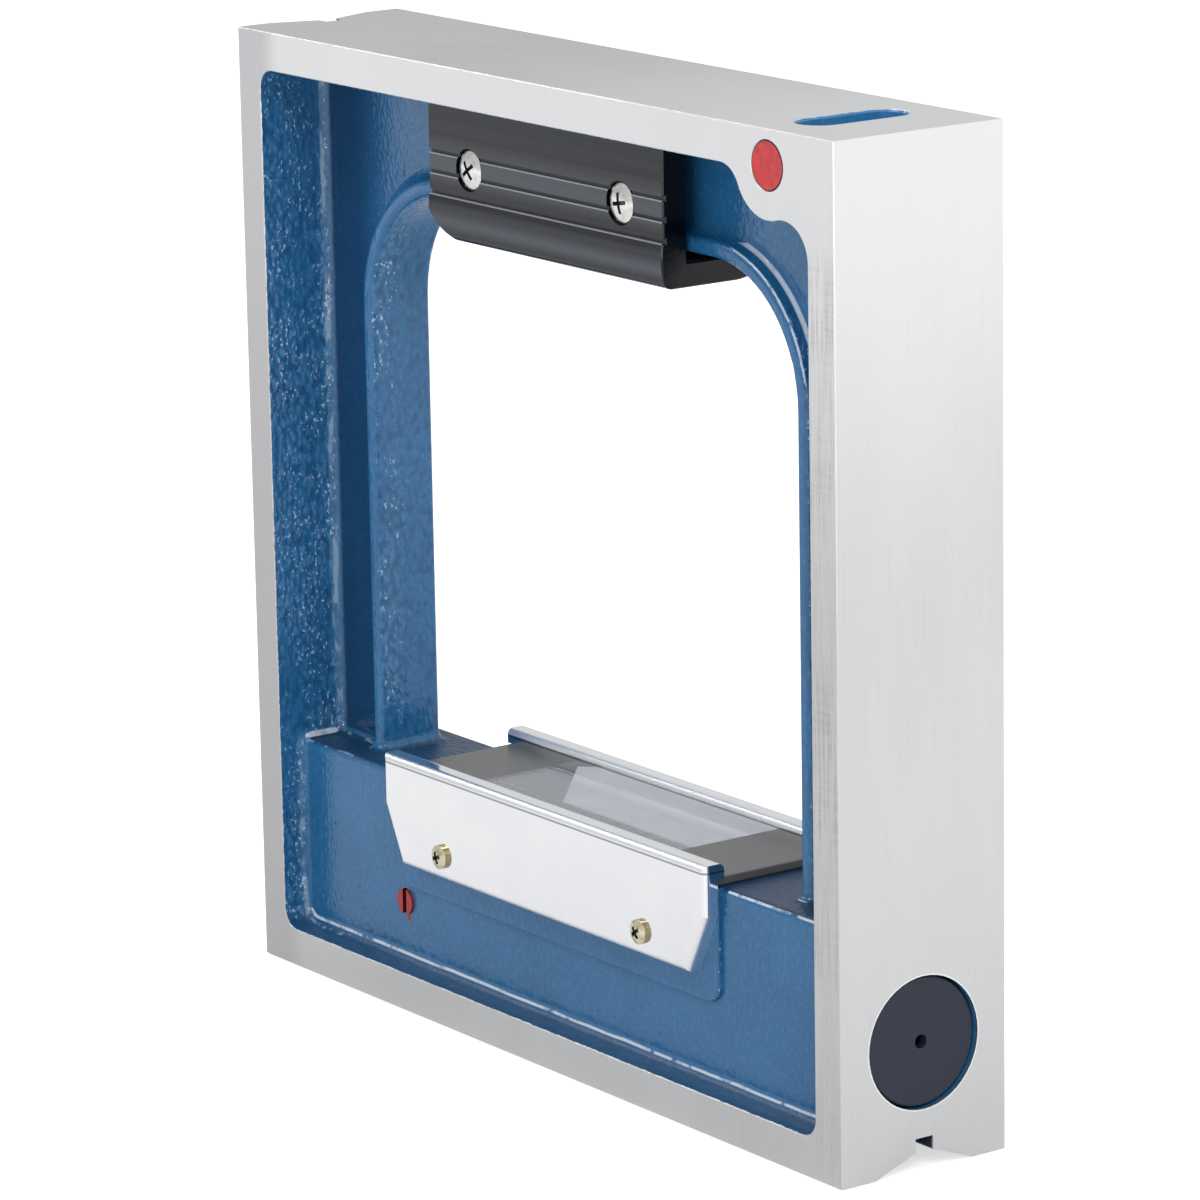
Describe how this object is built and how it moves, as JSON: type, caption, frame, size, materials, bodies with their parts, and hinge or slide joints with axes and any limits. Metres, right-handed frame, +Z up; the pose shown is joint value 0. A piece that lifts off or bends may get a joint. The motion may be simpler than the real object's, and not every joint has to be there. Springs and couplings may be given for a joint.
{
  "type": "square precision level",
  "caption": "Square machinist's level: cast frame with ground faces and vees, window, covered main vial, corner cross vial, black hand grip, hidden zero adjuster.",
  "frame": {"origin": "centre of the base, on the surface that the level stands on", "axes": "+Z up, +X along the base towards the face with the bore cap, -Y towards the front face"},
  "size_m": [0.2, 0.04, 0.2],
  "materials": {
    "casting": "blue gloss enamel, ground faces bare",
    "grip": "black satin",
    "chrome_sheet": "mirror chrome",
    "bright_steel": "bright nickel plate",
    "brass_plate": "bright pale brass plate",
    "window": "clear flat glass",
    "seal": "black rubber",
    "cap": "charcoal satin plastic",
    "red_screw": "steel sealed with red paint",
    "red_seal": "red sealing compound",
    "machined_brass": "machined brass",
    "machined_steel": "machined steel",
    "vial_glass": "clear ground glass tube",
    "spirit": "clear yellow-green liquid",
    "air": "air",
    "vial_plug": "pale cement"
  },
  "bodies": {
    "level": {"frame_casting": "casting", "grip": "grip", "grip_screws": "bright_steel", "front_cover": "chrome_sheet", "rear_cover": "chrome_sheet", "cover_screws": "brass_plate", "window_glass": "window", "window_gasket": "seal", "bore_cap": "cap", "pivot_screws": "red_screw", "adjuster_bush": "machined_brass", "cross_vial_glass": "vial_glass", "cross_vial_plugs": "vial_plug", "cross_vial_spirit": "spirit", "cross_vial_seals": "red_seal"},
    "carrier": {"carrier_bar": "machined_steel", "vial_holders": "machined_brass", "main_vial_glass": "vial_glass", "main_vial_plugs": "vial_plug", "main_vial_spirit": "spirit"},
    "adjuster": {"adjuster_spindle": "machined_steel", "adjuster_washer": "machined_steel", "adjuster_clip": "machined_steel"},
    "main_bubble": {"main_vial_bubble": "air"},
    "cross_bubble": {"cross_vial_bubble": "air"}
  },
  "joints": [
    {"name": "adjuster_turn", "type": "hinge", "parent": "level", "child": "adjuster", "pos_m": [0.08, 0, 0.0252], "axis": [1, 0, 0], "range_deg": [-45, 45]},
    {"name": "carrier_tilt", "type": "hinge", "parent": "level", "child": "carrier", "pos_m": [-0.0542, 0, 0.0208], "axis": [0, -1, 0], "range_deg": [-0.34, 0.34]},
    {"name": "main_bubble_slide", "type": "slide", "parent": "carrier", "child": "main_bubble", "axis": [1, 0, 0], "range_m": [-0.012, 0.012]},
    {"name": "cross_bubble_slide", "type": "slide", "parent": "level", "child": "cross_bubble", "axis": [0, 1, 0], "range_m": [-0.0045, 0.0045]}
  ],
  "couplings": [
    {"joint": "carrier_tilt", "follows": "adjuster_turn", "ratio": 0.0075}
  ]
}
